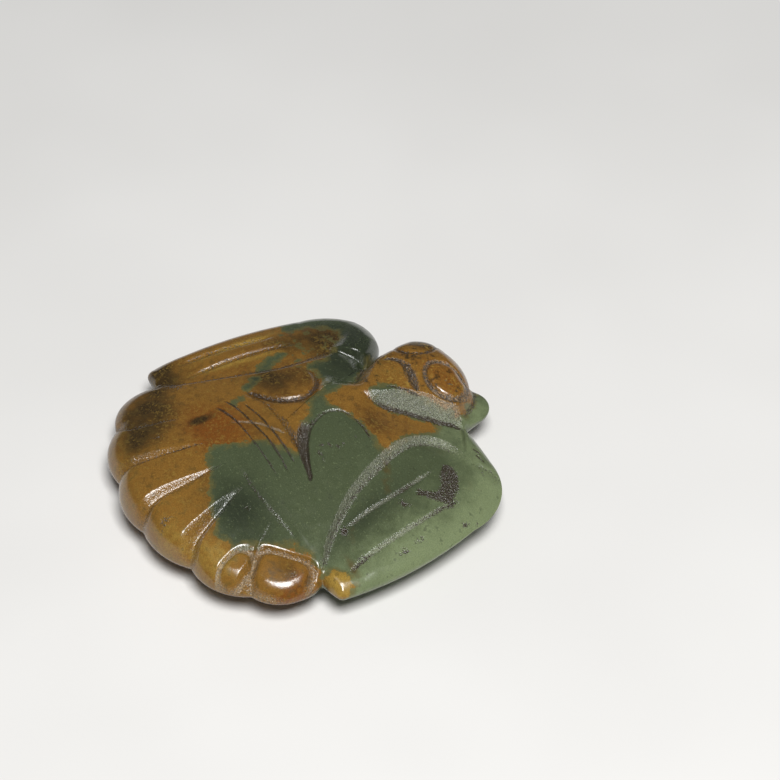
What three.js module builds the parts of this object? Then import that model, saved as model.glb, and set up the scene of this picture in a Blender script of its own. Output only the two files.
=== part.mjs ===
import * as THREE from 'three';

// A bird carved from one flat pebble of jade, seen as it lies on its belly: wings folded back,
// a fan tail of six lobes and a head turned to the bird's right.
// Millimetres. +Y runs along the back towards the head, +X to the right wing, +Z up from the table.

// Heights
const CROWN = 13.0;
const EDGE_HEIGHT = 5.0;
const EDGE_RISE_TO_HEAD = 0.025;
const HEAD_SWELL = 1.3;
const EYE_SWELL = 0.5;
const PAD_SWELL = 0.5;

// Belly: a flat round to rest on, and the rise from there to the edge
const RESTING_RADIUS = 10;
const BELLY_RADIUS = 28;
const BELLY_RISE = 3.3;
const BELLY_CURVE = 1.7;

// Fall of the back along the axis and across the wings, which flatten outwards
const FALL_ALONG = 0.0045;
const FALL_ACROSS = 0.012;
const WING_FLARE = 40;

// Fan tail: lobes of equal angle about a centre on the axis, with a notch between each two.
// The lists run from the right wing to the left one.
const FAN_CENTRE_Y = -1;
const LOBE_ANGLE = 22.5;
const NOTCH_REACH = [28.4, 26.5, 26.7, 26.7, 27.9];
const LOBE_RISE = [1.8, 1.25, 1.4, 1.7, 2.6];
const LOBE_ROUNDING = 2.6;
const FLATTEST_RISE = 0.02;
const FLUTE_ROOT_Y = -12.4;
const FLUTE_ROOT_X = [12.9, 5.4, 0, -5.1, -12.6];

// Mesh: the place its rings are drawn about, how many there are, and how finely they are split
const HUB = new THREE.Vector2(0, -3);
const RINGS = 8;
const ALLOWED_GAP = 0.095;
const SHORTEST_SPLIT = 1.0;
const THINNEST_SHARE = 0.15;
const LONGEST_TURN = 1.8;
const SPLIT_ROUNDS = 4;

const JADE = new THREE.MeshStandardMaterial({
  name: 'jade',
  color: new THREE.Color(0.36, 0.3, 0.15),
  roughness: 0.3,
  metalness: 0,
});

// Smooth step from 0 to 1
function ease(t) {
  const s = Math.min(1, Math.max(0, t));
  return s * s * (3 - 2 * s);
}

// Quarter round: 0 at the edge, 1 where the edge's rounding ends
function quarterRound(t) {
  const s = 1 - Math.min(1, Math.max(0, t));
  return Math.sqrt(1 - s * s);
}

// Outline. Each corner is followed by an arc that stands `rise` outside its chord, and the top
// is rounded over `rounding` behind that arc. A straight stretch is an arc of the flattest rise.
function corner(x, y, rise, rounding) {
  return { x, y, rise, rounding };
}

const leftWing = [
  corner(-24.2, -11.0, 0, 1.6),
  corner(-27.3, -10.5, 0.3, 1.8),
  corner(-28.4, -9.2, 0.2, 2.0),
  corner(-28.3, -3.5, 0.6, 2.0),
  corner(-24.2, 16.0, 1.3, 2.2),
  corner(-18.0, 23.8, 0.6, 2.6),
  corner(-11.2, 23.2, 0.4, 2.6),
];
const head = [
  corner(-7.6, 18.3, 0.1, 3.0),
  corner(-8.6, 26.0, 1.6, 3.0),
  corner(-2.5, 31.0, 0.7, 3.0),
];
const beak = [
  corner(4.7, 29.7, 2.45, 2.8),
  corner(10.7, 26.9, 0.15, 2.8),
];
const rightWing = [
  corner(10.8, 23.7, 0.2, 2.4),
  corner(19.1, 23.4, 2.8, 2.4),
  corner(28.5, 13.4, 1.1, 2.0),
  corner(28.5, -9.6, 0.3, 1.8),
  corner(27.4, -10.8, 0, 1.6),
];
const squareLobe = [
  corner(24.2, -11.2, 0.4, 2.2),
  corner(24.8, -15.4, 1.2, 2.2),
];
const notches = NOTCH_REACH.map((reach, i) => {
  const turn = THREE.MathUtils.degToRad(LOBE_ANGLE * (2 - i));
  return corner(reach * Math.sin(turn), FAN_CENTRE_Y - reach * Math.cos(turn), LOBE_RISE[i], LOBE_ROUNDING);
});

// Clockwise from the left wing's notch
const corners = [...leftWing, ...head, ...beak, ...rightWing, ...squareLobe, ...notches];

const arcs = corners.map((start, i) => {
  const end = corners[(i + 1) % corners.length];
  const chord = new THREE.Vector2(end.x - start.x, end.y - start.y);
  const half = chord.length() / 2;
  const rise = Math.max(start.rise, FLATTEST_RISE);
  const radius = (half * half + rise * rise) / (2 * rise);
  const outward = new THREE.Vector2(-chord.y, chord.x).normalize();
  const centre = new THREE.Vector2((start.x + end.x) / 2, (start.y + end.y) / 2)
    .addScaledVector(outward, rise - radius);
  return { start, end, centre, radius, outward, endCosine: 1 - rise / radius, rounding: start.rounding };
});

const turnOf = (point) => Math.atan2(point.y - HUB.y, point.x - HUB.x);
const FULL_TURN = 2 * Math.PI;

// Distance from the hub to the outline at an angle
function outlineReach(angle) {
  const { centre, radius } = arcs.find((arc) => {
    const span = (turnOf(arc.start) - turnOf(arc.end) + FULL_TURN) % FULL_TURN;
    return (turnOf(arc.start) - angle + 2 * FULL_TURN) % FULL_TURN <= span;
  });
  const away = centre.clone().sub(HUB);
  const along = away.x * Math.cos(angle) + away.y * Math.sin(angle);
  return along + Math.sqrt(along * along - away.lengthSq() + radius * radius);
}

// How far a place lies behind the outline, as a share of the rounding there
function edgeShare(x, y) {
  let least = Infinity;
  for (const arc of arcs) {
    const dx = x - arc.centre.x;
    const dy = y - arc.centre.y;
    const away = Math.hypot(dx, dy);
    const onArc = dx * arc.outward.x + dy * arc.outward.y >= arc.endCosine * away;
    const toStart = Math.hypot(x - arc.start.x, y - arc.start.y);
    const toEnd = Math.hypot(x - arc.end.x, y - arc.end.y);
    const distance = onArc ? Math.abs(away - arc.radius) : Math.min(toStart, toEnd);
    least = Math.min(least, distance / arc.rounding);
  }
  return least;
}

// A line carved along a smooth curve. `from` gives the distance to it, how far along it the
// nearest place is, and whether that place is passed on the left (+1) or on the right (-1).
class Stroke {
  constructor(...points) {
    const curve = new THREE.SplineCurve(points.map(([x, y]) => new THREE.Vector2(x, y)));
    this.line = curve.getPoints(points.length * 5);
  }

  from(x, y) {
    const found = { distance: Infinity, along: 0, side: 1 };
    const pieces = this.line.length - 1;
    for (let i = 0; i < pieces; i += 1) {
      const a = this.line[i];
      const b = this.line[i + 1];
      const dx = b.x - a.x;
      const dy = b.y - a.y;
      const t = Math.min(1, Math.max(0, ((x - a.x) * dx + (y - a.y) * dy) / (dx * dx + dy * dy)));
      const distance = Math.hypot(x - a.x - t * dx, y - a.y - t * dy);
      if (distance >= found.distance) continue;
      found.distance = distance;
      found.along = (i + t) / pieces;
      found.side = dx * (y - a.y) - dy * (x - a.x) >= 0 ? 1 : -1;
    }
    return found;
  }
}

// Ramps up over the first share of a stroke and down over its last share
function fade(along, first, last) {
  return ease(along / Math.max(first, 1e-6)) * ease((1 - along) / Math.max(last, 1e-6));
}

// A groove of half width `reach`, rounded at its bottom
function groove(stroke, depth, reach, first = 0.15, last = 0.15) {
  return (x, y) => {
    const { distance, along } = stroke.from(x, y);
    return depth * fade(along, first, last) * (1 - ease(distance / reach));
  };
}

// A groove that widens and deepens towards its far end
function flute(stroke, depth, reach) {
  return (x, y) => {
    const { distance, along } = stroke.from(x, y);
    const grown = 0.25 + 0.75 * along;
    return depth * ease(along * 2.2) * grown * (1 - ease(distance / (reach * grown)));
  };
}

// A ledge: one side of the stroke is cut back by `drop`, with a bevel up to the other side, and
// the cut runs out over `recovery`
function ledge(stroke, lowSide, drop, bevel, recovery, first = 0.2, last = 0.2) {
  return (x, y) => {
    const { distance, along, side } = stroke.from(x, y);
    const cut = drop * fade(along, first, last);
    return side === lowSide ? cut * (1 - ease(distance / recovery)) : cut * ease(1 - distance / bevel);
  };
}

// An oval swelling inside a rounded channel
function boss(x0, y0, long, wide, turn, swell, channel, reach) {
  const angle = THREE.MathUtils.degToRad(turn);
  return (x, y) => {
    const u = ((x - x0) * Math.cos(angle) + (y - y0) * Math.sin(angle)) / long;
    const v = (-(x - x0) * Math.sin(angle) + (y - y0) * Math.cos(angle)) / wide;
    const out = Math.hypot(u, v);
    const gap = Math.abs(out - 1) * Math.min(long, wide);
    return channel * (1 - ease(gap / reach)) - swell * Math.max(0, 1 - out * out);
  };
}

const LEFT = 1;
const RIGHT = -1;

// Head and neck: a bevelled block that stands over both shoulders, with the beak a step lower
const headCuts = [
  ledge(new Stroke([-1.2, 11.6], [2.4, 14.0], [4.7, 16.2], [7.1, 18.3], [9.3, 20.6], [11.4, 24.2]),
    RIGHT, 2.0, 3.3, 9.0, 0.4, 0.05),
  ledge(new Stroke([-1.2, 11.6], [-3.4, 13.4], [-5.6, 15.8], [-8.0, 19.0]), LEFT, 2.2, 2.2, 9.0, 0.4, 0.05),
  ledge(new Stroke([4.4, 30.4], [7.4, 28.6], [9.2, 26.0], [9.8, 23.0]), LEFT, 1.9, 1.2, 9.0, 0.05, 0.3),
  groove(new Stroke([-4.4, 18.3], [-3.2, 20.5], [-1.4, 21.0], [0.8, 20.8], [4.2, 20.1]), 0.6, 1.0),
  boss(3.9, 25.6, 3.6, 2.9, 0, EYE_SWELL, 0.5, 0.9),
  boss(-5.3, 26.0, 3.0, 3.3, 0, EYE_SWELL, 0.45, 0.9),
];

// Wings: the inner edge of each blade is a curved ledge, and two long grooves run down the blade
const rightWingCuts = [
  ledge(new Stroke([23.7, -11.4], [18.5, -6.8], [14.6, -0.7], [11.8, 5.7], [10.8, 12.0], [12.3, 16.6],
    [16.1, 19.1], [20.0, 19.8], [22.6, 19.6]), RIGHT, 1.1, 2.2, 8.0, 0.08, 0.35),
  groove(new Stroke([19.3, -4.2], [18.6, 4.7], [17.2, 15.2]), 0.45, 0.9),
  groove(new Stroke([26.0, -8.2], [24.8, 2.3], [23.3, 15.8]), 0.45, 0.9),
];
const leftWingCuts = [
  ledge(new Stroke([-23.7, -11.2], [-19.6, -6.0], [-16.0, 0.0], [-13.2, 6.0], [-12.3, 12.0], [-13.2, 15.9],
    [-15.5, 18.7], [-18.6, 20.0], [-21.0, 19.8]), LEFT, 1.1, 2.0, 8.0, 0.08, 0.35),
  groove(new Stroke([-21.6, -7.0], [-20.6, 2.2], [-18.4, 12.4]), 0.5, 0.9),
  groove(new Stroke([-26.7, -7.0], [-25.6, 1.9], [-23.2, 12.6]), 0.5, 0.9),
];

// Back: a raised leaf behind each shoulder
const backCuts = [
  groove(new Stroke([10.9, -4.2], [6.3, -1.9], [2.4, 1.4], [1.4, 3.8], [2.8, 7.2], [6.0, 8.1], [10.3, 7.6]),
    0.5, 0.9),
  ledge(new Stroke([-11.6, -2.4], [-7.6, -1.3], [-4.6, 1.0], [-3.4, 3.8], [-4.8, 7.3], [-7.6, 8.2],
    [-11.0, 7.4]), RIGHT, 0.55, 0.7, 1.6, 0.15, 0.3),
];

// Tail: a low step behind the rump, a flute between each two lobes, and a raised pad on the
// square lobe
const tailCuts = [
  ledge(new Stroke([21.5, -9.8], [15.9, -10.2], [9.9, -9.0], [0, -9.0], [-9.0, -9.4], [-20.0, -10.2]),
    LEFT, 0.35, 2.4, 6.0, 0.2, 0.3),
  ...notches.map(({ x, y }, i) => flute(new Stroke([FLUTE_ROOT_X[i], FLUTE_ROOT_Y], [x, y]), 1.25, 1.7)),
  boss(20.9, -16.0, 4.3, 3.8, -35, PAD_SWELL, 0.75, 0.9),
];

const cuts = [...headCuts, ...rightWingCuts, ...leftWingCuts, ...backCuts, ...tailCuts];

function edgeHeight(y) {
  return EDGE_HEIGHT + EDGE_RISE_TO_HEAD * Math.max(0, y);
}

function crown(x, y) {
  const across = (FALL_ACROSS * x * x) / (1 + (x / WING_FLARE) ** 2);
  const swell = HEAD_SWELL * (1 - ease(Math.hypot(x + 1.5, y - 25) / 9));
  return CROWN - FALL_ALONG * y * y - across + swell;
}

function topHeight(x, y) {
  const carved = cuts.reduce((z, cut) => z - cut(x, y), crown(x, y));
  const edge = edgeHeight(y);
  return edge + (carved - edge) * quarterRound(edgeShare(x, y));
}

// The belly is flat in the middle and curves up to the edge all round
function bellyHeight(x, y) {
  const out = Math.max(0, Math.hypot(x, y) - RESTING_RADIUS) / (BELLY_RADIUS - RESTING_RADIUS);
  const rise = BELLY_RISE * out ** BELLY_CURVE;
  const edge = edgeHeight(y);
  return edge + (rise - edge) * quarterRound(edgeShare(x, y));
}

// A place on the skin: a point (a, b) of the unit disc, on the top (+1), the belly (-1) or the
// edge (0) that the two share, with the point of space that it stands for
function place(a, b, sheet) {
  const share = Math.sin((Math.min(1, Math.hypot(a, b)) * Math.PI) / 2);
  const angle = Math.atan2(b, a);
  const reach = outlineReach(angle) * share;
  const x = HUB.x + reach * Math.cos(angle);
  const y = HUB.y + reach * Math.sin(angle);
  if (sheet === 0) return { a, b, sheet, point: new THREE.Vector3(x, y, edgeHeight(y)) };
  const z = sheet > 0 ? topHeight(x, y) : bellyHeight(x, y);
  return { a, b, sheet, point: new THREE.Vector3(x, y, z) };
}

function between(p, q, t) {
  const a = p.a + (q.a - p.a) * t;
  const b = p.b + (q.b - p.b) * t;
  if (p.sheet !== 0 || q.sheet !== 0) return place(a, b, p.sheet || q.sheet);
  const out = Math.hypot(a, b);
  return place(a / out, b / out, 0);
}

// The widest gap between the skin and the straight edge from one place to another
function gapUnder(p, q) {
  const gapAt = (t) => between(p, q, t).point.distanceTo(p.point.clone().lerp(q.point, t));
  return Math.max(gapAt(0.25), gapAt(0.5), gapAt(0.75));
}

// The net of triangles over the skin, with each edge's gap worked out once
class Net {
  constructor() {
    this.places = [];
    this.triangles = [];
    this.gaps = new Map();
  }

  add(newPlace) {
    return this.places.push(newPlace) - 1;
  }

  edgeName(i, j) {
    return i < j ? `${i}_${j}` : `${j}_${i}`;
  }

  gap(i, j) {
    const name = this.edgeName(i, j);
    if (!this.gaps.has(name)) this.gaps.set(name, gapUnder(this.places[i], this.places[j]));
    return this.gaps.get(name);
  }

  length(i, j) {
    return this.places[i].point.distanceTo(this.places[j].point);
  }

  // Twice the area of a triangle on the disc, positive where it runs anticlockwise
  spread([i, j, k]) {
    const [p, q, r] = [this.places[i], this.places[j], this.places[k]];
    return (q.a - p.a) * (r.b - p.b) - (r.a - p.a) * (q.b - p.b);
  }

  // Coarse start: six sectors of triangles in rings, once for the top and once for the belly
  lay() {
    const edgeRing = [];
    for (const sheet of [1, -1]) {
      let inner = [this.add(place(0, 0, sheet))];
      for (let ring = 1; ring <= RINGS; ring += 1) {
        const outer = [];
        for (let i = 0; i < 6 * ring; i += 1) {
          const angle = (FULL_TURN * i) / (6 * ring);
          const [a, b] = [(ring / RINGS) * Math.cos(angle), (ring / RINGS) * Math.sin(angle)];
          if (ring < RINGS) outer.push(this.add(place(a, b, sheet)));
          else if (sheet > 0) edgeRing.push(this.add(place(a, b, 0)));
        }
        if (ring === RINGS) outer.push(...edgeRing);
        this.layRing(inner, outer, ring, sheet);
        inner = outer;
      }
    }
  }

  layRing(inner, outer, ring, sheet) {
    for (let i = 0; i < 6 * ring; i += 1) {
      const sector = Math.floor(i / ring);
      const next = outer[(i + 1) % outer.length];
      const in0 = inner[(i - sector) % inner.length];
      this.triangles.push(sheet > 0 ? [in0, outer[i], next] : [in0, next, outer[i]]);
      if ((i + 1) % ring === 0) continue;
      const in1 = inner[(i - sector + 1) % inner.length];
      this.triangles.push(sheet > 0 ? [in0, next, in1] : [in0, in1, next]);
    }
  }

  // Splits every edge that stands off the skin, and the triangles on both its sides
  split() {
    const middles = new Map();
    const middleOf = (i, j) => {
      const name = this.edgeName(i, j);
      if (!middles.has(name)) {
        const stands = this.length(i, j) > SHORTEST_SPLIT && this.gap(i, j) > ALLOWED_GAP;
        middles.set(name, stands ? this.add(between(this.places[i], this.places[j], 0.5)) : -1);
      }
      return middles.get(name);
    };
    const triangles = [];
    for (const [i, j, k] of this.triangles) {
      const mids = [middleOf(i, j), middleOf(j, k), middleOf(k, i)];
      const cut = mids.filter((m) => m >= 0).length;
      if (cut === 0) triangles.push([i, j, k]);
      else if (cut === 3) {
        triangles.push([i, mids[0], mids[2]], [mids[0], j, mids[1]], [mids[2], mids[1], k], mids);
      } else {
        // Turned so that the first edge is cut and, where two are, the second as well
        let [a, b, c, ab, bc, ca] = [i, j, k, ...mids];
        while (ab < 0 || (cut === 2 && bc < 0)) [a, b, c, ab, bc, ca] = [b, c, a, bc, ca, ab];
        if (cut === 1) triangles.push([a, ab, c], [ab, b, c]);
        else triangles.push([ab, b, bc], [a, ab, bc], [a, bc, c]);
      }
    }
    this.triangles = triangles;
  }

  // Turns the edge between two triangles to their other diagonal where that lies closer to the
  // skin and leaves no thin triangle
  turn() {
    const owners = new Map();
    this.triangles.forEach((triangle, t) => triangle.forEach((i, n) => {
      const name = this.edgeName(i, triangle[(n + 1) % 3]);
      owners.set(name, [...(owners.get(name) ?? []), t]);
    }));
    const turned = new Set();
    for (const [name, [t, u]] of owners) {
      const [i, j] = name.split('_').map(Number);
      const up = this.places[i].sheet || this.places[j].sheet;
      if (up === 0 || turned.has(t) || turned.has(u)) continue;
      const k = this.triangles[t].find((m) => m !== i && m !== j);
      const l = this.triangles[u].find((m) => m !== i && m !== j);
      if (this.places[k].sheet === 0 && this.places[l].sheet === 0) continue;
      const forward = this.triangles[t][(this.triangles[t].indexOf(i) + 1) % 3] === j;
      const pair = forward ? [[i, l, k], [l, j, k]] : [[j, l, k], [l, i, k]];
      const thinnest = Math.min(...pair.map((triangle) => up * this.spread(triangle)));
      const whole = Math.abs(this.spread([i, j, k])) + Math.abs(this.spread([i, j, l]));
      if (thinnest <= THINNEST_SHARE * whole || this.gap(k, l) >= this.gap(i, j)) continue;
      if (this.length(k, l) > LONGEST_TURN * this.length(i, j)) continue;
      [this.triangles[t], this.triangles[u]] = pair;
      turned.add(t).add(u);
    }
  }
}

function carvedBird() {
  const net = new Net();
  net.lay();
  for (let round = 0; round < SPLIT_ROUNDS; round += 1) {
    net.split();
    net.turn();
  }
  net.turn();
  const geometry = new THREE.BufferGeometry();
  const positions = net.places.flatMap(({ point }) => point.toArray());
  geometry.setAttribute('position', new THREE.Float32BufferAttribute(positions, 3));
  geometry.setIndex(net.triangles.flat());
  // The origin is on the table under the middle of the outline's box
  geometry.computeBoundingBox();
  const middle = geometry.boundingBox.getCenter(new THREE.Vector3());
  geometry.translate(-middle.x, -middle.y, 0);
  geometry.computeVertexNormals();
  return geometry;
}

const bird = new THREE.Mesh(carvedBird(), JADE);
bird.name = 'jade_bird';

const group = new THREE.Group();
group.add(bird);

export default group;
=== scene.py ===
import math

import bpy
import numpy as np
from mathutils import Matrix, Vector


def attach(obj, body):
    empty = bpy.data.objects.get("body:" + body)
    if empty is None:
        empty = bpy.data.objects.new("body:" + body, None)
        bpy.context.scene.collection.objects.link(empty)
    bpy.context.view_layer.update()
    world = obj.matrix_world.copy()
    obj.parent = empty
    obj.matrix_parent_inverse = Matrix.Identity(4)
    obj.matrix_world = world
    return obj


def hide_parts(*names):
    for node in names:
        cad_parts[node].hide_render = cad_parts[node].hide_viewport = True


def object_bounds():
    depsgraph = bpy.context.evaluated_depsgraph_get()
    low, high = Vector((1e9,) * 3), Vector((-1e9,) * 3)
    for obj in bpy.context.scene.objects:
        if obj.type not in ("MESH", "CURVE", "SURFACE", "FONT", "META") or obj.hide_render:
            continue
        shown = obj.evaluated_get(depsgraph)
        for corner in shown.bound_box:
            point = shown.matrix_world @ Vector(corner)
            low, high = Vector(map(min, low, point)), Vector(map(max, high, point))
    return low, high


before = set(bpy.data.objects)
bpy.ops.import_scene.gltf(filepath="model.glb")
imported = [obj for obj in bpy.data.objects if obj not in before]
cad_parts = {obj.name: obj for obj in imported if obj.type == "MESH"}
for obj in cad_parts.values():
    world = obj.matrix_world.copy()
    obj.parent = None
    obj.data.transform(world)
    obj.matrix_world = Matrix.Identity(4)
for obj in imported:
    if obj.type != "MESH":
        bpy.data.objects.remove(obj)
cad_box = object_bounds()
bpy.ops.object.select_all(action="DESELECT")


# The blank: one flat pebble of nephrite jade, sawn to the outline of a bird and ground to a lens
# with rounded edges. Plan places are in millimetres about the bird's middle, with +Y towards the
# head and +X towards the right wing.

CROWN = 13.0
EDGE_HEIGHT = 5.0
EDGE_RISE_TO_HEAD = 0.025
HEAD_SWELL = 1.3
HEAD_MIDDLE = (-1.5, 25.0)
HEAD_RADIUS = 9.0
RESTING_RADIUS = 10.0
BELLY_RADIUS = 28.0
BELLY_RISE = 3.3
BELLY_CURVE = 1.7
HUB = (0.0, -3.0)

# Corner x and y, how far the arc that follows stands outside its chord, and the rounding behind it
OUTLINE = [
    (-24.2, -11.0, 0.02, 1.6),
    (-27.3, -10.5, 0.3, 1.8),
    (-28.4, -9.2, 0.2, 2.0),
    (-28.3, -3.5, 0.6, 2.0),
    (-24.2, 16.0, 1.3, 2.2),
    (-18.0, 23.8, 0.6, 2.6),
    (-11.2, 23.2, 0.4, 2.6),
    (-7.6, 18.3, 0.1, 3.0),
    (-8.6, 26.0, 1.6, 3.0),
    (-2.5, 31.0, 0.7, 3.0),
    (4.7, 29.7, 2.45, 2.8),
    (10.7, 26.9, 0.15, 2.8),
    (10.8, 23.7, 0.2, 2.4),
    (19.1, 23.4, 2.8, 2.4),
    (28.5, 13.4, 1.1, 2.0),
    (28.5, -9.6, 0.3, 1.8),
    (27.4, -10.8, 0.02, 1.6),
    (24.2, -11.2, 0.4, 2.2),
    (24.8, -15.4, 1.2, 2.2),
]

# The notches between the fan's lobes, from the right wing round: reach and rise of the next lobe
FAN_CENTRE_Y = -1.0
LOBE_ANGLE = 22.5
notches = []
for i, (reach, rise) in enumerate([(28.4, 1.8), (26.5, 1.25), (26.7, 1.4), (26.7, 1.7), (27.9, 2.6)]):
    turn = math.radians(LOBE_ANGLE * (2 - i))
    notches.append((reach * math.sin(turn), FAN_CENTRE_Y - reach * math.cos(turn)))
    OUTLINE.append((*notches[-1], rise, 2.6))

# Rings of triangles on the back and on the belly, and how many of them lie in the rounded edge
BACK_RINGS = 160
BELLY_RINGS = 80
EDGE_SHARE_OF_RINGS = 0.11
EDGE_SHARE_OF_REACH = 0.085
MM = 0.001


def ease(t):
    s = np.clip(t, 0, 1)
    return s * s * (3 - 2 * s)


def quarter_round(t):
    return np.sqrt(1 - (1 - np.clip(t, 0, 1)) ** 2)


class Outline:
    """Arcs from corner to corner, clockwise"""

    def __init__(self, corners):
        corners = np.array(corners)
        self.start = corners[:, :2]
        self.end = np.roll(self.start, -1, axis=0)
        chord = self.end - self.start
        half = np.hypot(*chord.T) / 2
        rise = corners[:, 2]
        self.radius = (half**2 + rise**2) / (2 * rise)
        self.outward = np.stack([-chord[:, 1], chord[:, 0]], 1) / (2 * half[:, None])
        self.centre = (self.start + self.end) / 2 + self.outward * (rise - self.radius)[:, None]
        self.end_cosine = 1 - rise / self.radius
        self.rounding = corners[:, 3]

    def reach(self, angle):
        """Distance from the hub to the outline at each angle"""
        first = np.arctan2(self.start[:, 1] - HUB[1], self.start[:, 0] - HUB[0])
        last = np.arctan2(self.end[:, 1] - HUB[1], self.end[:, 0] - HUB[0])
        span = (first - last) % (2 * np.pi)
        arc = ((first - angle[:, None]) % (2 * np.pi) <= span).argmax(1)
        away = self.centre[arc] - HUB
        along = away[:, 0] * np.cos(angle) + away[:, 1] * np.sin(angle)
        return along + np.sqrt(along**2 - (away**2).sum(1) + self.radius[arc] ** 2)

    def depth(self, x, y):
        """How far each place lies behind the outline: in millimetres, and as a share of the rounding"""
        least = np.full(len(x), np.inf)
        share = np.full(len(x), np.inf)
        for i, rounding in enumerate(self.rounding):
            dx, dy = x - self.centre[i, 0], y - self.centre[i, 1]
            away = np.hypot(dx, dy)
            on_arc = dx * self.outward[i, 0] + dy * self.outward[i, 1] >= self.end_cosine[i] * away
            to_start = np.hypot(x - self.start[i, 0], y - self.start[i, 1])
            to_end = np.hypot(x - self.end[i, 0], y - self.end[i, 1])
            near = np.where(on_arc, abs(away - self.radius[i]), np.minimum(to_start, to_end))
            least = np.minimum(least, near)
            share = np.minimum(share, near / rounding)
        return least, share


def net(name, rings, height):
    """A hexagon cut into rings of triangles, with its corners one unit out"""
    bpy.ops.mesh.primitive_circle_add(vertices=6, radius=1, fill_type="TRIFAN", location=(0, 0, height))
    sheet = bpy.context.object
    sheet.name = sheet.data.name = name
    bpy.ops.object.transform_apply(location=True)
    bpy.ops.object.mode_set(mode="EDIT")
    bpy.ops.mesh.select_all(action="SELECT")
    for parts in (rings // 10, 10):
        bpy.ops.mesh.subdivide(number_cuts=parts - 1)
    bpy.ops.object.mode_set(mode="OBJECT")
    return sheet


back = net("jade_carving", BACK_RINGS, 1)
bpy.ops.object.select_all(action="DESELECT")
belly = net("belly", BELLY_RINGS, -1)

# The belly's net is turned over, and its rim gets as many corners as the rim of the back
bpy.ops.object.mode_set(mode="EDIT")
bpy.ops.mesh.select_all(action="SELECT")
bpy.ops.mesh.flip_normals()
bpy.ops.mesh.region_to_loop()
bpy.ops.mesh.subdivide(number_cuts=1)
bpy.ops.object.mode_set(mode="OBJECT")

back.select_set(True)
bpy.context.view_layer.objects.active = back
bpy.ops.object.join()
bird = bpy.context.object

flat = np.empty(len(bird.data.vertices) * 3)
bird.data.vertices.foreach_get("co", flat)
flat = flat.reshape(-1, 3)
on_back = flat[:, 2] > 0

# From the hexagon's rings to rings of the outline. The rounded edge gets finer rings.
turn = np.arctan2(-flat[:, 0], flat[:, 1]) % (2 * np.pi)
sector = np.floor(turn / (np.pi / 3) + 1e-6)
within = turn - sector * (np.pi / 3)
out = np.hypot(flat[:, 0], flat[:, 1])
second = out * np.sin(within) / math.sin(math.pi / 3)
ring = out * np.cos(within) + second / 2
share_of_side = np.divide(second, ring, out=np.zeros_like(ring), where=ring > 1e-9)
angle = (sector + share_of_side) * (np.pi / 3) + np.pi / 2
in_edge = np.clip((1 - ring) / EDGE_SHARE_OF_RINGS, 0, 1)
inner = np.clip(ring / (1 - EDGE_SHARE_OF_RINGS), 0, 1) * (1 - EDGE_SHARE_OF_REACH)
share = np.where(in_edge < 1, 1 - EDGE_SHARE_OF_REACH * (1 - np.cos(in_edge * np.pi / 2)), inner)

outline = Outline(OUTLINE)
reach = outline.reach((angle + np.pi) % (2 * np.pi) - np.pi) * share
x = HUB[0] + reach * np.cos(angle)
y = HUB[1] + reach * np.sin(angle)
rim = ring > 1 - 1e-5
behind, edge_share = outline.depth(x, y)
behind[rim] = edge_share[rim] = 0


# The carving: what wheels and wet abrasive took off the blank. Each cut also leaves its own
# finish: how matt it left the stone, and how dark it is, from dirt settled in it since and from painted shade in its
# hollows and creases.

LEFT, RIGHT = 1, -1


def spline(points):
    """A smooth line through points: Catmull-Rom, with five steps to a point"""
    points = np.array(points, float)
    t = np.linspace(0, len(points) - 1, len(points) * 5 + 1)
    i = np.minimum(t.astype(int), len(points) - 2)
    w = (t - i)[:, None]
    before, here = points[np.maximum(i - 1, 0)], points[i]
    there, after = points[i + 1], points[np.minimum(i + 2, len(points) - 1)]
    v0, v1 = (there - before) / 2, (after - here) / 2
    cubic = (2 * here - 2 * there + v0 + v1) * w**3 + (3 * there - 3 * here - 2 * v0 - v1) * w**2
    return cubic + v0 * w + here


def along_list(values, along):
    return np.interp(along, np.linspace(0, 1, len(values)), values)


def inside(polygon, x, y):
    """Distance from a closed line, in millimetres, positive inside it"""
    points = np.array(polygon, float)
    least = np.full(len(x), np.inf)
    odd = np.zeros(len(x), bool)
    for a, b in zip(points, np.roll(points, -1, axis=0)):
        dx, dy = b - a
        t = np.clip(((x - a[0]) * dx + (y - a[1]) * dy) / (dx * dx + dy * dy), 0, 1)
        least = np.minimum(least, np.hypot(x - a[0] - t * dx, y - a[1] - t * dy))
        if dy:
            odd ^= ((a[1] > y) != (b[1] > y)) & (x < a[0] + (y - a[1]) * dx / dy)
    return np.where(odd, least, -least)


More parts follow.
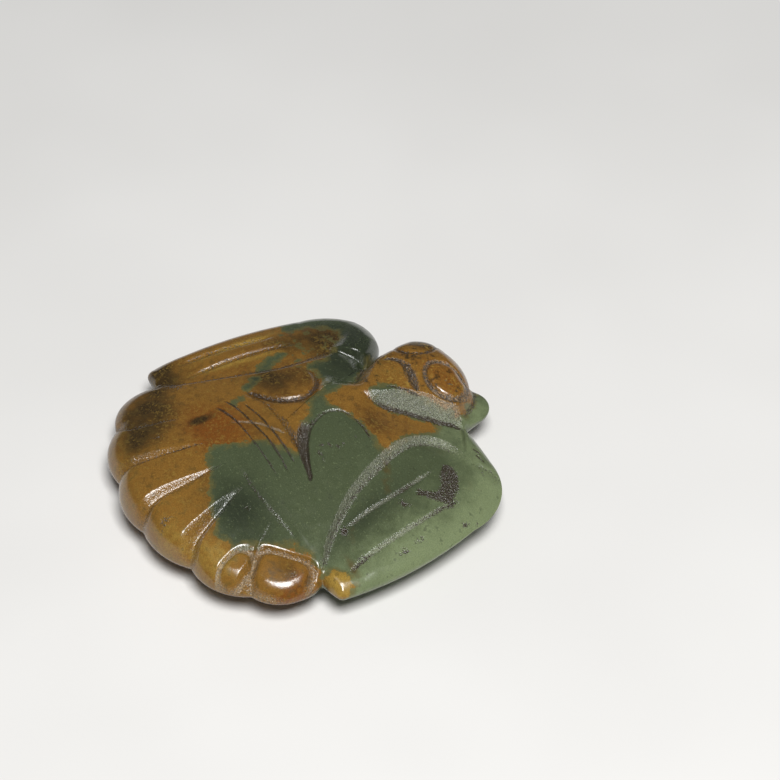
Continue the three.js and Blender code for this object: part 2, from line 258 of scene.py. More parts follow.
class Carving:
    """What is cut off each place of the back, and how each cut leaves the surface"""

    def __init__(self, x, y):
        self.x, self.y = x, y
        self.cut = np.zeros(len(x))
        self.matt = np.zeros(len(x))
        self.dirt_and_shade = np.zeros(len(x))

    def follow(self, points, reach):
        """The places near a line, with their distance from it, how far along it they are, and their side"""
        line = spline(points)
        low, high = line.min(0) - reach, line.max(0) + reach
        near = (self.x > low[0]) & (self.x < high[0]) & (self.y > low[1]) & (self.y < high[1])
        near = np.flatnonzero(near)
        px, py = self.x[near], self.y[near]
        distance = np.full(len(near), np.inf)
        along = np.zeros(len(near))
        side = np.ones(len(near))
        length = np.concatenate([[0], np.cumsum(np.hypot(*np.diff(line, axis=0).T))])
        for i, (a, b) in enumerate(zip(line[:-1], line[1:])):
            dx, dy = b - a
            t = np.clip(((px - a[0]) * dx + (py - a[1]) * dy) / (dx * dx + dy * dy), 0, 1)
            d = np.hypot(px - a[0] - t * dx, py - a[1] - t * dy)
            closer = d < distance
            distance = np.where(closer, d, distance)
            along = np.where(closer, length[i] + t * (length[i + 1] - length[i]), along)
            side = np.where(closer, np.where(dx * (py - a[1]) - dy * (px - a[0]) >= 0, LEFT, RIGHT), side)
        return near, distance, along / length[-1], side

    def fade(self, along, ends):
        first, last = (max(end, 1e-6) for end in ends)
        return ease(along / first) * ease((1 - along) / last)

    def finish(self, near, matt, dirt_and_shade):
        self.matt[near] = np.maximum(self.matt[near], matt)
        # the dark in each cut is partly real dirt and partly painted shade in its hollows and creases
        self.dirt_and_shade[near] = np.maximum(self.dirt_and_shade[near], dirt_and_shade)

    def groove(self, points, depth, widths, ends=(0.15, 0.15), matt=0.6, dirt_and_shade=0.8):
        """A groove, rounded at its bottom. widths are its half widths along it."""
        near, distance, along, _ = self.follow(points, max(widths) * 1.5)
        half = along_list(widths, along)
        fade = self.fade(along, ends)
        profile = fade * (1 - ease(distance / half))
        self.cut[near] += depth * profile * half / max(widths)
        core = fade * (1 - ease((distance / half - 0.35) / 0.9))
        dirt_and_shade = along_list(dirt_and_shade, along) if isinstance(dirt_and_shade, list) else dirt_and_shade
        self.finish(near, matt * core, dirt_and_shade * core)

    def flute(self, points, depth, far_width, near_width, far_side, dirt_and_shade, matt=0.5):
        """A groove that grows towards its far end, with a broad polished wall on one side"""
        near, distance, along, side = self.follow(points, far_width * 1.5)
        grown = 0.15 + 0.85 * along
        half = np.where(side == far_side, far_width, near_width) * grown
        wall = np.clip(distance / half, 0, 1)
        self.cut[near] += depth * ease(along * 2.2) * grown * (1 - 0.65 * wall - 0.35 * ease(wall))
        bottom = 1 - ease((distance / half - 0.05) / 0.5)
        wall = (1 - ease((distance / half - 0.7) / 0.5)) * np.where(side == far_side, 0.45, 1)
        start = ease(along * 8)
        self.finish(near, matt * wall * start, along_list(dirt_and_shade, along) * bottom * start)

    def ledge(self, points, low_side, drop, bevels, recovery, ends=(0.2, 0.2), matt=0.6, dirt_and_shade=0.4, facets=None):
        """One side is cut back, with a bevel up to the other. facets are stops across the bevel."""
        near, distance, along, side = self.follow(points, max(recovery, max(bevels)))
        fade = self.fade(along, ends)
        up = 1 - distance / along_list(bevels, along)
        slope = np.interp(up, *facets) if facets else 0.6 * np.clip(up, 0, 1) + 0.4 * ease(up)
        high = side != low_side
        self.cut[near] += drop * fade * np.where(high, slope, 1 - ease(distance / recovery))
        on_bevel = np.where(high, ease((up + 0.1) / 0.3), 1 - ease(distance / 0.5)) * fade
        # the crease at the foot of the bevel darkens: partly dirt, partly painted shade
        crease = (1 - ease((distance - 0.1) / 0.7)) * fade
        self.finish(near, matt * on_bevel, dirt_and_shade * crease)

    def boss(self, centre, long, wide, turn, swell, channel, reach, matt, dirt_and_shade, square=2):
        """A swelling inside a rounded channel. square is 2 for an oval and more for a squarish pad."""
        c, s = math.cos(math.radians(turn)), math.sin(math.radians(turn))
        dx, dy = self.x - centre[0], self.y - centre[1]
        u, v = (dx * c + dy * s) / long, (dy * c - dx * s) / wide
        out = (abs(u) ** square + abs(v) ** square) ** (1 / square)
        gap = abs(out - 1) * min(long, wide)
        ring = 1 - ease(gap / reach)
        self.cut += channel * ring - swell * np.clip(1 - out**4, 0, 1)
        line = 1 - ease((gap / reach - 0.3) / 0.6)
        self.matt = np.maximum(self.matt, matt * line)
        # the channel's dark ring is partly dirt and partly painted shade
        self.dirt_and_shade = np.maximum(self.dirt_and_shade, dirt_and_shade * line)


carving = Carving(x[on_back], y[on_back])

# Head and neck: a bevelled block over both shoulders. The bevel that faces the right wing has a
# narrow polished facet along its top and a broad ground one below.
carving.ledge(
    [(-1.0, 11.5), (2.5, 13.6), (4.8, 15.9), (7.1, 18.2), (9.3, 20.5), (11.4, 23.9)],
    RIGHT, 2.15, [0.4, 1.7, 3.2, 3.7, 3.5, 2.6], 9.0, (0.35, 0.05), 1.0, 0.9,
    facets=([0, 0.06, 0.30, 0.36, 0.44, 0.92, 1], [0, 0.03, 0.26, 0.29, 0.33, 0.92, 1]),
)
carving.ledge(
    [(-1.2, 11.6), (-3.4, 13.4), (-5.6, 15.8), (-8.0, 19.0)],
    LEFT, 2.2, [2.2], 9.0, (0.4, 0.05), 0.7, 0.7,
)
carving.groove([(0.4, 15.7), (1.6, 17.1), (3.0, 18.5), (4.6, 19.7), (5.8, 20.6)], 0.1, [0.28], (0.3, 0.3), 0.3, 0.75)
# beak, a step lower than the face
carving.ledge([(4.4, 30.4), (7.4, 28.6), (9.2, 26.0), (9.8, 23.0)], LEFT, 1.9, [1.2], 9.0, (0.05, 0.3), 0.3, 0.6)
# nape
carving.groove(
    [(-4.7, 19.0), (-4.1, 20.2), (-3.0, 21.0), (-1.2, 21.4), (0.9, 20.9), (2.8, 20.4), (4.5, 19.9)],
    0.5, [0.25, 0.45, 0.7, 0.95, 1.1, 0.85, 0.3], (0.08, 0.08), 0.9, 0.75,
)
# eyes
carving.boss((4.0, 25.5), 3.8, 3.1, 0, 0.65, 0.42, 0.7, 0.9, 0.62)
carving.boss((-5.6, 26.2), 3.2, 3.6, 0, 0.25, 0.16, 0.5, 0.2, 0.6)
carving.groove([(-2.9, 22.9), (-2.4, 24.6), (-2.3, 26.4), (-2.6, 28.4)], 0.25, [0.35], (0.3, 0.4), 0.3, 0.8)

# Right wing: the blade lies lower than the back, inside a curved ledge, with two long grooves
carving.ledge(
    [
        (24.0, -11.2), (22.1, -9.2), (20.4, -7.2), (18.7, -4.8), (16.8, -1.7), (15.4, 1.0), (14.2, 4.2),
        (13.2, 7.4), (12.4, 10.4), (12.0, 13.4), (12.3, 15.8), (13.5, 17.5), (15.6, 18.4), (18.0, 18.9),
        (20.2, 18.9),
    ],
    RIGHT, 1.0, [0.5, 0.6, 0.7, 0.8, 0.9, 1.0, 1.1, 1.2, 1.3, 1.4, 1.5, 1.6, 1.6, 1.3, 0.9], 8.0,
    (0.06, 0.2), 0.9, 0.5,
)
carving.groove(
    [(19.7, -4.4), (18.9, 0.0), (18.6, 4.7), (18.2, 9.0), (17.6, 12.9), (17.0, 15.4)],
    0.2, [0.42, 0.5, 0.55, 0.5, 0.4], (0.12, 0.25), 0.85, [0.9, 0.2, 0.25, 0.7, 0.3, 0.2],
)
carving.groove(
    [(26.0, -8.4), (25.3, -4.5), (24.7, 0.5), (24.2, 5.4), (23.7, 10.4), (23.1, 16.0)],
    0.22, [0.42, 0.55, 0.55, 0.5, 0.4], (0.12, 0.25), 0.9, [0.9, 0.7, 0.2, 0.25, 0.5, 0.75, 0.4],
)
carving.ledge([(18.7, 19.7), (19.4, 20.5), (20.3, 21.3), (21.5, 21.9), (22.9, 22.0), (24.3, 21.4)], RIGHT, 0.3, [0.6], 2.0, (0.2, 0.3), 0.0, 0.4)
carving.groove([(16.4, 21.3), (17.4, 22.0), (18.4, 22.3)], 0.15, [0.22], (0.3, 0.3), 0.4, 0.9)
carving.groove([(17.4, 21.2), (18.6, 21.6), (19.6, 22.0)], 0.12, [0.2], (0.3, 0.3), 0.4, 0.9)

# Left wing, the same in mirror image but sunk deeper at its grooves
carving.ledge(
    [
        (-23.7, -11.2), (-19.6, -6.0), (-16.0, 0.0), (-13.2, 6.0), (-12.3, 12.0), (-13.2, 15.9), (-15.5, 18.7),
        (-18.6, 20.0), (-21.0, 19.8),
    ],
    LEFT, 1.1, [1.0, 1.3, 1.5, 1.6, 1.5, 1.3, 1.0], 8.0, (0.08, 0.5), 0.5, 0.75,
)
carving.groove([(-22.4, -7.6), (-21.5, -3.0), (-20.6, 1.2), (-19.4, 5.6), (-18.1, 9.6), (-17.0, 12.6)],
               0.42, [0.5, 0.8, 0.9, 0.8, 0.5], (0.2, 0.2), 0.1, 0.45)
carving.groove([(-26.0, -7.0), (-24.9, -2.3), (-23.7, 2.4), (-22.5, 6.4), (-21.3, 10.4)],
               0.42, [0.5, 0.8, 0.9, 0.8, 0.5], (0.2, 0.2), 0.1, 0.45)

# Back: a leaf behind each shoulder, the wide cut between them, and fine lines across the rump
carving.groove(
    [
        (10.9, -4.3), (8.6, -3.2), (6.3, -2.1), (4.2, -0.6), (2.5, 1.2), (1.5, 3.2), (1.2, 5.0), (2.0, 6.8),
        (3.8, 7.9), (6.2, 8.2), (8.4, 7.9), (10.4, 7.5),
    ],
    0.4, [0.4, 0.45, 0.5, 0.5, 0.5, 0.45, 0.35, 0.28, 0.24, 0.24, 0.22], (0.02, 0.12), 0.5, [0.9, 0.8, 0.7, 0.6, 0.6, 0.8, 0.85],
)
carving.groove(
    [(0.2, 1.0), (1.6, 0.6), (3.3, -0.8), (5.0, -1.9), (7.0, -2.8), (9.0, -3.6), (11.2, -4.5)],
    0.5, [0.5, 1.1, 1.3, 1.1, 0.8, 0.5, 0.3], (0.2, 0.05), 0.9, 1.0,
)
carving.groove(
    [(-9.8, -2.4), (-7.4, -1.9), (-4.6, -1.6), (-1.6, -1.6), (1.4, -1.9), (4.0, -2.4), (7.0, -3.2)],
    0.3, [0.25, 0.4, 0.6, 0.8, 0.9, 0.6], (0.1, 0.2), 0.3, [0.8, 0.5, 0.45, 0.5, 0.7, 0.9],
)
carving.ledge(
    [(-11.6, -2.4), (-9.0, -1.6), (-7.0, -0.7), (-5.0, 0.9), (-3.7, 3.3), (-4.0, 5.4), (-5.3, 7.5), (-7.9, 8.5), (-11.0, 7.8)],
    RIGHT, 0.6, [0.8], 1.4, (0.12, 0.3), 0.25, 0.8,
)
HATCH = [
    ([(-11.9, -6.4), (-9.2, -5.8), (-6.4, -5.6), (-3.0, -5.6), (0.4, -5.5), (4.2, -5.8), (8.7, -6.5)], [0.16, 0.22, 0.24, 0.24, 0.2]),
    ([(-8.6, -4.3), (-4.8, -4.0), (-1.2, -4.0), (2.4, -4.2), (5.2, -4.5), (7.6, -4.8)], [0.16, 0.22, 0.24, 0.24, 0.18]),
    ([(-11.2, -8.0), (-9.2, -7.6), (-6.0, -7.3), (-3.0, -7.4), (0.5, -7.6), (4.6, -7.9), (8.6, -8.2)], [0.28, 0.3, 0.17, 0.16, 0.16, 0.14]),
]
for points, widths in HATCH:
    carving.groove(points, 0.2, widths, (0.1, 0.1), 0.2, 0.85)
carving.groove([(-6.4, -8.6), (-4.6, -6.8), (-2.9, -5.2), (-1.2, -4.2), (0.8, -3.2), (2.6, -2.4)],
               0.14, [0.3], (0.2, 0.2), 0.9, 0.2)

# Tail: a step down behind the rump, and a flute between each two lobes of the fan
carving.ledge(
    [(21.8, -10.4), (18.4, -11.4), (14.8, -11.6), (11.2, -11.8), (7.6, -12.0), (4.0, -11.6), (0.0, -10.6), (-6.0, -9.8), (-12.0, -9.8), (-20.0, -10.4)],
    LEFT, 0.5, [0.6, 1.2, 1.9, 2.6, 3.0, 3.0, 2.8, 2.6, 2.4, 2.2], 6.0, (0.12, 0.35), 0.0, 0.0,
)
carving.groove([(1.2, -11.3), (5.3, -12.0), (8.6, -12.1), (11.5, -11.9), (15.0, -11.6), (18.4, -11.3)],
               0.05, [0.45], (0.2, 0.2), 0.3, 0.5)
FLUTES = [
    ([(12.9, -12.6), (14.4, -15.0), (15.8, -17.2), (17.2, -19.2), (18.6, -21.8), notches[0]], 0.7, 0.9, 0.8, [0.6, 0.55, 0.3, 0.2, 0.2]),
    ([(5.6, -12.3), (6.9, -16.6), (7.8, -20.0), (8.8, -23.2), notches[1]], 1.9, 2.4, 1.5, [0.45, 0.4, 0.3, 0.2, 0.1]),
    ([(0.8, -12.5), (0.6, -16.8), (-0.1, -20.6), (-0.6, -24.4), notches[2]], 1.4, 1.7, 1.4, [0.7, 0.6, 0.35, 0.2, 0.1]),
    ([(-4.3, -12.5), (-5.9, -16.2), (-7.6, -19.4), (-9.0, -22.6), notches[3]], 1.2, 1.6, 1.4, [0.7, 0.75, 0.6, 0.4, 0.3]),
    ([(-12.0, -12.9), (-13.8, -15.2), (-15.4, -17.4), (-17.2, -19.7), notches[4]], 0.8, 1.2, 1.2, [0.6, 0.75, 0.7, 0.6, 0.45]),
]
for points, depth, far_width, near_width, dirt_and_shade in FLUTES:
    carving.flute(points, depth, far_width, near_width, RIGHT, dirt_and_shade)

# the raised pad on the square lobe, and the smaller one beside it
carving.boss((21.2, -16.4), 4.3, 3.4, 40, 0.35, 0.75, 0.8, 0.7, 0.3, square=4)
carving.boss((16.6, -21.4), 3.1, 1.9, 105, 0.15, 0.35, 0.6, 0.9, 0.25, square=2.6)


# The whole form, in metres, in the frame of the solid
def edge_height(y):
    return EDGE_HEIGHT + EDGE_RISE_TO_HEAD * np.maximum(0, y)


def crown(x, y):
    swell = HEAD_SWELL * (1 - ease(np.hypot(x - HEAD_MIDDLE[0], y - HEAD_MIDDLE[1]) / HEAD_RADIUS))
    return CROWN - 0.0045 * y**2 - 0.012 * x**2 / (1 + (x / 40) ** 2) + swell


edge = edge_height(y)
raised = np.clip(np.hypot(x, y) - RESTING_RADIUS, 0, None) / (BELLY_RADIUS - RESTING_RADIUS)
surface = BELLY_RISE * raised**BELLY_CURVE
surface[on_back] = crown(x[on_back], y[on_back]) - carving.cut
z = edge + (surface - edge) * quarter_round(edge_share)

places = np.stack([x, y, z], 1) * MM
bird.data.vertices.foreach_set("co", places.ravel())


def keep(name, back_values, belly_values=0):
    """Stores a value at each vertex for the material"""
    values = np.empty(len(x))
    values[on_back] = back_values
    values[~on_back] = belly_values
    bird.data.attributes.new(name, "FLOAT", "POINT").data.foreach_set("value", values.astype(np.float32))


# The skin: the brown rind of the pebble, left on one side of the bird, on the head and in patches.
# Its border is drawn as closed lines, and the material frays them.


RIND = [
    (24.6, -11.4), (21.2, -11.2), (18.5, -12.2), (16.9, -14.3), (15.7, -16.6), (14.5, -18.6), (14.3, -20.1),
    (12.8, -20.4), (11.5, -20.9), (10.0, -20.9), (8.4, -20.2), (6.7, -19.5), (5.1, -18.8), (3.6, -17.9),
    (2.2, -16.8), (0.2, -15.9), (-1.5, -15.4), (-3.0, -13.9), (-3.5, -12.4), (-2.4, -10.7), (-1.2, -9.3),
    (-0.3, -7.7), (0.4, -6.5), (1.6, -5.6), (3.4, -4.6), (5.6, -3.6), (3.7, -1.6), (2.3, -0.6), (1.0, 0.6),
    (0.2, 2.1), (-0.9, 3.1), (-2.9, 3.7), (-3.0, 5.9), (-3.6, 7.4), (-5.4, 8.6), (-8.6, 9.0), (-10.4, 7.6),
    (-10.1, 9.2), (-11.2, 13.0), (-12.6, 15.2), (-14.2, 17.4), (-16.2, 18.6), (-18.1, 17.8), (-20.1, 15.6),
    (-20.4, 12.6), (-21.6, 11.4), (-24.4, 12.6), (-36.0, 16.0), (-36.0, -20.0), (-20.0, -36.0), (24.0, -36.0),
    (34.0, -20.0),
]
GREEN_STRIPS = [
    [(-15.2, 2.0), (-16.4, 3.8), (-17.2, 5.9), (-16.9, 7.9), (-16.2, 9.7), (-15.6, 8.4), (-15.0, 6.0), (-13.6, 3.6), (-13.0, 1.0)],
    [(-10.9, -2.5), (-11.9, -2.1), (-12.7, -0.6), (-13.2, 0.4), (-12.4, 1.6), (-11.3, 0.7), (-10.6, -0.4), (-10.4, -2.1)],
    [(-9.7, -5.6), (-9.9, -4.7), (-9.6, -3.4), (-8.6, -4.3), (-8.5, -5.6)],
]
NECK_PATCH = [
    (-1.0, 6.4), (-1.9, 7.9), (-1.9, 10.0), (-3.4, 13.0), (-4.0, 15.0), (-0.7, 14.0), (0.9, 12.6), (3.0, 13.4),
    (5.2, 15.4), (7.4, 17.6), (9.6, 19.9), (10.8, 18.6), (10.4, 16.0), (10.2, 13.0), (10.9, 11.0), (11.6, 9.2),
    (10.5, 8.3), (8.6, 8.6), (6.2, 8.9), (4.2, 8.5), (1.9, 7.5), (0.4, 6.6),
]
HEAD_SKIN = [
    (-0.8, 13.2), (-0.2, 15.0), (1.2, 17.0), (2.7, 18.5), (4.7, 19.9), (6.5, 21.4), (8.4, 22.4), (9.4, 23.8),
    (9.0, 25.8), (7.6, 28.0), (5.0, 29.9), (4.4, 34.0), (-12.0, 34.0), (-9.4, 26.0), (-8.0, 19.6),
    (-5.8, 16.4), (-3.6, 13.9),
]
WING_TIP = [
    (22.6, -12.6), (24.3, -10.2), (24.2, -9.2), (25.2, -8.3), (26.6, -7.8), (27.8, -8.1), (28.6, -9.4),
    (31.0, -10.0), (31.0, -14.0),
]
# Here green and brown are mixed
MIXED = [(-20.0, 8.0), (-17.0, 10.0), (-13.0, 8.0), (-9.0, 9.0), (-11.0, 20.0), (-19.0, 20.0), (-24.0, 14.0)]

skin = inside(RIND, x, y)
for strip in GREEN_STRIPS:
    skin = np.minimum(skin, -inside(strip, x, y))
for patch in (NECK_PATCH, HEAD_SKIN, WING_TIP):
    skin = np.maximum(skin, inside(patch, x, y))


def spots(*ovals):
    """Soft ovals: x, y, half length, half width, turn in degrees, strength"""
    total = np.zeros(len(x))
    for x0, y0, long, wide, turn, strength in ovals:
        c, s = math.cos(math.radians(turn)), math.sin(math.radians(turn))
        dx, dy = x - x0, y - y0
        u, v = (dx * c + dy * s) / long, (dy * c - dx * s) / wide
        total += strength * np.exp(-(u * u + v * v))
    return total


skin = np.where(inside(MIXED, x, y) > 0, np.minimum(skin, 0.3), skin)
keep("skin", skin[on_back], np.minimum(skin - 1.5, 6)[~on_back])

# Sage on the near wing, shoulder and beak, where the green is thinnest: partly the stone's own paler tone
# and partly painted light, for the lit near side and the glow through the thin edge. Rust where the skin is
# deepest. Gold is the skin's own yellow at the right wing's tip, and painted highlight on the left wing's
# ridges, the tail's rims and the head. Painted shade darkens the far side and the belly, away from the lamp.
# paler green on the near wing, shoulder and beak: partly the stone's own tone, partly painted light on the lit near
# side and the thin edge
pale_and_painted_light = spots((29, 8, 6, 26, 0, 1.0), (22, 22, 6, 5, 0, 0.6), (12, 22, 5, 6, 0, 0.5), (20, -9, 3, 6, 30, 0.2), (9, 29, 4, 4, 0, 0.5))
rust = spots(
    (-4, 24, 10, 9, 0, 0.3), (-5, -9, 7, 4, 0, 0.7), (-8, -11.8, 5, 3, 0, 0.9), (-20, -2, 4, 12, -20, 0.3),
    (-8, 3, 5, 5, 0, 0.4), (5, 12, 5, 6, 30, 0.3), (23.5, -14.5, 2.5, 3, 0, 0.5), (24.4, -17.4, 2.0, 3.0, 0, 0.7),
    (3.8, 26, 3.5, 3, 0, 0.5),
)
# gold: the skin's own yellow at the right wing's tip, and a painted highlight on the left wing's ridges, the tail's
# rims and the head
gold_and_highlight = spots(
    (26.4, -9.4, 2.4, 2.0, 0, 1.6), (-23.4, 3.5, 8, 0.9, 81, 0.8), (-19.5, 1.5, 8, 0.9, 71, 0.8), (8, -26, 8, 2.5, 25, 0.5),
    (-8, -27, 6, 2.5, -20, 0.4), (14, -22, 3, 3, 0, 0.5), (3, -22, 6, 4, 0, 0.15), (-1, 18.5, 4, 3, 20, 0.25), (-16, -22, 4, 2, -40, 0.25),
)
# painted shade: darker over the far side, which faces away from the lamp
painted_shade = spots(
    (9, -16, 7, 5, 0, 1.0), (-13, 19, 8, 6, 20, 1.0), (-18, 12, 4, 6, 0, 0.7), (-8, 13, 4, 6, 0, 0.8), (-24.8, -9, 4, 3, 0, 0.9),
    (-19, -15.5, 8, 5, -40, 1.0), (-13, -21, 5, 3, -30, 0.7), (-9.8, -11.0, 1.7, 0.9, 80, 1.5), (-10, 2.2, 5, 4, 20, 1.0),
    (19.5, -1, 2.5, 7, 10, 0.7), (17, 8, 3, 6, 10, 0.3), (-22, -1, 3, 9, -20, 0.25), (-12, -15, 3, 5, -30, 0.25), (-1, -5, 5, 4, 0, 0.4),
    (5, 11.5, 5, 6, 30, 0.45), (-6.5, 27.5, 4, 3, 0, 1.1), (21.3, -16, 2.4, 2.2, 50, 0.6), (-2, 7, 2, 3, 0, 0.2), (7, -4, 8, 8, 0, 0.15),
)
keep("pale_and_painted_light", pale_and_painted_light[on_back], pale_and_painted_light[~on_back])
keep("rust", rust[on_back], rust[~on_back])
keep("gold_and_highlight", gold_and_highlight[on_back], gold_and_highlight[~on_back] * 0.3)
# the belly gets painted shade too, as it faces away from the lamp
keep("painted_shade", painted_shade[on_back], painted_shade[~on_back] * 0.5 + 0.2)

# Dark stain in pits: a hooked patch on the right wing, a few spots, and pits on the right leaf
HOOK = [
    (17.3, 15.6), (18.3, 16.5), (20.1, 16.2), (21.9, 15.1), (22.9, 13.7), (23.0, 12.3), (22.4, 10.9), (21.2, 9.9),
    (20.2, 8.8), (19.4, 9.2), (20.6, 10.6), (21.1, 11.9), (20.4, 13.2), (19.0, 13.8),
]
hook = np.clip(inside(HOOK, x, y) * 1.4 + 0.75, 0, 1)
stain = hook + spots(
    (20.5, 5.8, 0.8, 0.6, 0, 1.0), (19.8, -4.3, 0.6, 0.9, 30, 1.2), (23.7, 12.4, 0.6, 1.4, 0, 1.0),
    (27.4, 12.5, 0.5, 0.8, 0, 1.0), (28.0, 14.4, 0.4, 0.6, 0, 0.7), (27.1, 1.4, 0.7, 1.4, 0, 0.75),
    (26.6, 4.6, 0.6, 1.1, 0, 0.7), (24.9, -4.6, 0.5, 1.4, 0, 0.7), (6.4, 0.5, 0.5, 0.4, 0, 0.9),
    (7.0, 1.6, 0.5, 0.4, 0, 0.9), (7.8, 2.6, 0.5, 0.4, 0, 0.9), (7.9, 3.6, 0.5, 0.3, 0, 0.8),
    (7.6, -0.5, 0.7, 0.4, 0, 0.9), (8.8, -0.8, 0.5, 0.3, 0, 0.8), (7.6, 6.1, 0.4, 0.3, 0, 0.7),
    (4.0, -25.9, 0.8, 1.6, 20, 0.75), (-11.2, -18.2, 0.6, 1.6, -30, 0.6), (9.5, -14.8, 0.9, 0.7, 0, 0.5),
    (22.4, -15.0, 1.2, 0.8, 40, 0.45), (5.2, 25.2, 0.8, 0.4, 30, 0.7), (6.6, 25.6, 0.4, 0.3, 0, 0.7),
    (-20.6, -9.6, 2.4, 0.9, 30, 0.8), (21.0, 6.5, 0.5, 0.5, 0, 0.5), (20.9, 20.4, 0.3, 1.2, 70, 0.7),
)
keep("stain", stain[on_back], 0)
# a brown tint along old cracks of the right wing, under the polish
tint = spots(
    (13.5, 7.6, 0.8, 2.6, 70, 0.8), (16.6, 5.4, 0.7, 2.4, 60, 0.55), (20.5, -3.5, 1.2, 2.2, 60, 0.4),
    (25.5, -6.6, 1.0, 2.4, 80, 0.9), (18.2, 2.0, 0.7, 2.2, 70, 0.3), (21.8, 17.2, 2.4, 1.2, 30, 0.4),
)
keep("tint", tint[on_back], 0)
# how lively the skin is mottled: most on the head
keep("mottled", 0.5 + 0.5 * ease(inside(HEAD_SKIN, x, y)[on_back]), 0.5)
keep("matt", carving.matt)
# dark in the cuts: dirt, and painted shade in their hollows and creases
keep("dirt_and_shade", carving.dirt_and_shade)


# One shell: the two sheets are joined at the rim, and its box is set on that of the solid
bpy.ops.object.mode_set(mode="EDIT")
bpy.ops.mesh.select_all(action="SELECT")
bpy.ops.mesh.remove_doubles(threshold=1e-7)
bpy.ops.object.mode_set(mode="OBJECT")
flat = np.empty(len(bird.data.vertices) * 3)
bird.data.vertices.foreach_get("co", flat)
places = flat.reshape(-1, 3)
low, high = places.min(0), places.max(0)
size = np.array(cad_box[1]) - np.array(cad_box[0])
places = np.array(cad_box[0]) + (places - low) * (size / (high - low))
bird.data.vertices.foreach_set("co", places.ravel())
bpy.ops.object.shade_smooth()


# The finish: polished nephrite, translucent and greyish green, with its brown skin. Ground
# places are matt and grainy, and cuts and pits are dark with dirt, which also paints the shade in the hollows and
# creases.


class Value:
    """A number or colour that changes over the surface. Sums on it add Math nodes."""

    def __init__(self, finish, socket):
        self.finish, self.socket = finish, socket

    def maths(self, operation, first, second=0.0):
        return self.finish.node("ShaderNodeMath", {"operation": operation}, {0: first, 1: second})

    def __add__(self, other):
        return self.maths("ADD", self, other)

    def __radd__(self, other):
        return self.maths("ADD", other, self)

    def __sub__(self, other):
        return self.maths("SUBTRACT", self, other)

    def __rsub__(self, other):
        return self.maths("SUBTRACT", other, self)

    def __mul__(self, other):
        return self.maths("MULTIPLY", self, other)

    def __rmul__(self, other):
        return self.maths("MULTIPLY", other, self)

    def most(self, other):
        return self.maths("MAXIMUM", self, other)

    def step(self, low, high):
        """A smooth step from 0 at low to 1 at high"""
        settings = {"interpolation_type": "SMOOTHSTEP"}
        return self.finish.node("ShaderNodeMapRange", settings, {"Value": self, "From Min": low, "From Max": high})


class Finish:
    """A material under construction"""

    def __init__(self, name):
        self.material = bpy.data.materials.new(name)
        self.material.use_nodes = True
        self.tree = self.material.node_tree
        self.tree.nodes.clear()
        self.place = self.node("ShaderNodeTexCoord", output="Object")

    def node(self, kind, settings=None, sockets=None, output=0):
        made = self.tree.nodes.new(kind)
        for name, setting in (settings or {}).items():
            setattr(made, name, setting)
        for name, given in (sockets or {}).items():
            if isinstance(given, Value):
                self.tree.links.new(given.socket, made.inputs[name])
            else:
                made.inputs[name].default_value = given
        return Value(self, made.outputs[output]) if made.outputs else None

    def stored(self, name):
        return self.node("ShaderNodeAttribute", {"attribute_name": name}, output="Fac")

    def noise(self, size, detail=2.0, place=None, distortion=0.0):
        """Cloudy noise, mostly between -1 and 1, with features of about size millimetres"""
        sockets = {"Vector": place or self.place, "Scale": 1 / (size * MM), "Detail": detail, "Distortion": distortion}
        return self.node("ShaderNodeTexNoise", {}, sockets) * 9 - 4.5

    def shade(self, colour, light):
        """A colour made lighter or darker by a number"""
        return self.mix(1, colour, light, "MULTIPLY")

    def mix(self, share, first, second, blend="MIX"):
        sockets = {"Factor": share, "A": first, "B": second}
        mixer = self.tree.nodes.new("ShaderNodeMix")
        mixer.data_type = "RGBA"
        mixer.blend_type = blend
        for name, given in sockets.items():
            socket = next(s for s in mixer.inputs if s.name == name and s.type == ("VALUE" if name == "Factor" else "RGBA"))
            if isinstance(given, Value):
                self.tree.links.new(given.socket, socket)
            else:
                socket.default_value = given if name == "Factor" else (*given, 1)
        return Value(self, next(s for s in mixer.outputs if s.type == "RGBA"))


# Some of these colours also paint light: the sage paints the lit near side, the deep green and the umber paint shade on
# the far side, the gold paints highlights on ridges and rims, and the dirt colour paints shade in hollows and creases.
JADE = (0.062, 0.078, 0.038)
SAGE_AND_PAINTED_LIGHT = (0.170, 0.208, 0.105)
DEEP_JADE_AND_SHADE = (0.026, 0.033, 0.018)
DEEP_BROWN = (0.080, 0.052, 0.014)
OCHRE = (0.200, 0.100, 0.018)
RUST = (0.165, 0.058, 0.009)
GOLD_AND_HIGHLIGHT = (0.290, 0.185, 0.036)
UMBER_AND_SHADE = (0.034, 0.021, 0.007)
OLIVE = (0.13, 0.105, 0.030)
POWDER = (0.34, 0.33, 0.26)
DIRT_AND_SHADE = (0.028, 0.017, 0.009)

jade = Finish("jade")
frayed = jade.stored("skin") + 0.32 * jade.noise(1.6, 4) + 0.12 * jade.noise(0.35, 2)
brown = frayed.step(-0.12, 0.2)
border = frayed.step(-1.1, -0.1) * (1 - frayed.step(0.1, 0.9))
cloud = jade.noise(3.5, 4)
mottle = jade.noise(1.1, 4)
fleck = jade.noise(0.45, 2)
grain = jade.noise(0.17, 1)
painted_shade = jade.stored("painted_shade")

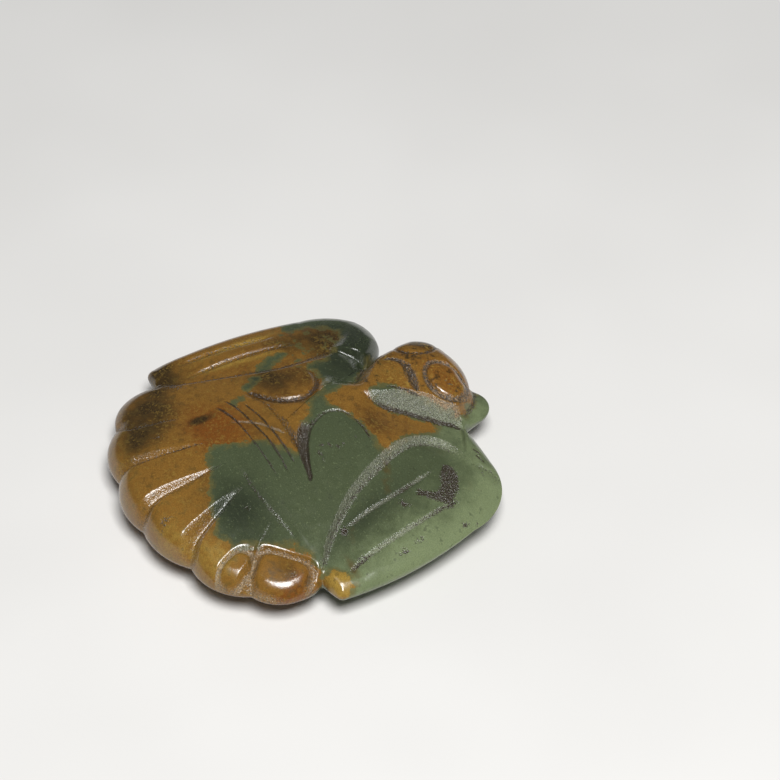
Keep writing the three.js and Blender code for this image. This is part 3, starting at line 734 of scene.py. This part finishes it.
# green stone, cloudy, with fine pale fibres and dark specks, paler with painted light on the near side and darker with
# painted shade on the far side
green = jade.mix((jade.stored("pale_and_painted_light") + 0.10 * cloud + 0.06 * mottle).step(0.0, 1.0), JADE, SAGE_AND_PAINTED_LIGHT)
green = jade.mix((painted_shade + 0.08 * cloud).step(0.0, 1.2), green, DEEP_JADE_AND_SHADE)
green = jade.mix((fleck + 0.5 * grain).step(0.8, 3.0) * 0.4, green, SAGE_AND_PAINTED_LIGHT)
green = jade.mix((mottle + 0.4 * fleck).step(0.9, 2.4) * 0.45, green, DEEP_JADE_AND_SHADE)
tint = (jade.stored("tint") + 0.15 * mottle).step(0.2, 1.1)
green = jade.mix(tint * 0.75, green, DEEP_BROWN)
green = jade.mix(border * 0.6, green, OLIVE)

# brown skin, mottled from gold to umber, with painted shade on the far side and painted highlight in gold on ridges and
# rims
lively = jade.stored("mottled")
warm = jade.mix((jade.stored("rust") + 0.2 * mottle + 0.15 * cloud).step(0.0, 1.0), OCHRE, RUST)
warm = jade.mix((painted_shade + 0.16 * cloud + 0.05 * mottle).step(0.05, 1.15) * 0.95, warm, UMBER_AND_SHADE)
warm = jade.mix((jade.stored("gold_and_highlight") + 0.2 * mottle).step(0.0, 1.1), warm, GOLD_AND_HIGHLIGHT)
warm = jade.mix((fleck + 0.6 * cloud).step(0.3, 2.4) * lively * 0.8, warm, GOLD_AND_HIGHLIGHT)
warm = jade.mix((mottle - 0.5 * cloud + 0.4 * fleck).step(0.2, 2.2) * lively * 0.9, warm, UMBER_AND_SHADE)
stone = jade.mix(brown, green, warm)

# ground places are powdery and full of fine pits, and dirt sits in them in grains; the same dark also paints the shade
# in the cuts' hollows and creases
matt = jade.stored("matt")
grains = jade.noise(0.24, 1)
powder = (matt + 0.2 * grains).step(0.4, 1.0)
stone = jade.mix(powder * 0.3, stone, POWDER)
filled_and_shaded = (jade.stored("dirt_and_shade").most(jade.stored("stain") * 0.85) + 0.16 * grains + 0.08 * fleck).step(0.4, 0.75)
pitted = matt.most(filled_and_shaded)
stone = jade.shade(stone, 1 + grain * (0.07 + 0.1 * brown * lively + 0.2 * pitted))
# dirt and stains darken the surface, and the same dark paints the shade in hollows and creases
colour = jade.mix(filled_and_shaded * 0.9, stone, DIRT_AND_SHADE)

roughness = 0.2 + 0.03 * mottle + 0.12 * pitted
height = 0.03 * (pitted * jade.noise(0.22, 1)) + 0.0012 * jade.noise(0.3, 2) + 0.004 * jade.noise(2.5, 2) - 0.02 * filled_and_shaded
bump = jade.node("ShaderNodeBump", {}, {"Strength": 1.0, "Distance": MM, "Height": height})
shader = jade.node(
    "ShaderNodeBsdfPrincipled",
    {"subsurface_method": "RANDOM_WALK"},
    {
        "Base Color": colour,
        "Roughness": roughness,
        "Normal": bump,
        "IOR": 1.61,
        "Subsurface Weight": 0.15,
        "Subsurface Radius": (1.0, 0.9, 0.6),
        "Subsurface Scale": 0.0008,
    },
)
jade.node("ShaderNodeOutputMaterial", {}, {"Surface": shader})

bird.data.materials.clear()
bird.data.materials.append(jade.material)
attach(bird, "root")
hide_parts("jade_bird")


# The table: a plain pale studio floor, wide enough to fill every view

bpy.ops.object.select_all(action="DESELECT")
bpy.ops.mesh.primitive_plane_add(size=6)
floor = bpy.context.object
floor.name = "floor"
paper = Finish("floor_paper")
tone = paper.mix(paper.noise(60, 2).step(-2, 2), (0.70, 0.69, 0.67), (0.74, 0.73, 0.71))
shader = paper.node("ShaderNodeBsdfPrincipled", {}, {"Base Color": tone, "Roughness": 0.75})
paper.node("ShaderNodeOutputMaterial", {}, {"Surface": shader})
floor.data.materials.append(paper.material)


# The light: one broad soft box overhead, a little towards the camera, in a dim studio


def soft_box(name, place, size, power):
    bpy.ops.object.light_add(type="AREA", location=place)
    lamp = bpy.context.object
    lamp.name = name
    lamp.data.shape = "SQUARE"
    lamp.data.size = size
    lamp.data.energy = power
    way = -np.array(place) / math.dist(place, (0, 0, 0))
    lamp.rotation_euler = (math.acos(-way[2]), 0, math.atan2(way[1], way[0]) - math.pi / 2)
    return lamp


soft_box("overhead", (0.267, -0.097, 0.640), 0.28, 6.2)

studio = bpy.data.worlds.new("studio")
studio.use_nodes = True
background = studio.node_tree.nodes["Background"]
background.inputs["Color"].default_value = (0.9, 0.95, 1.0, 1)
background.inputs["Strength"].default_value = 0.07
bpy.context.scene.world = studio
bpy.context.scene.view_settings.view_transform = "Standard"


# The camera: off the right wing towards the tail, 45 degrees above the table

bpy.ops.object.camera_add(location=(0.22717, -0.14095, 0.28688), rotation=(math.radians(44.9), 0, math.radians(55.4)))
camera = bpy.context.object
camera.data.sensor_width = 36
camera.data.lens = 115.4
camera.data.clip_start = 0.01
bpy.context.scene.camera = camera
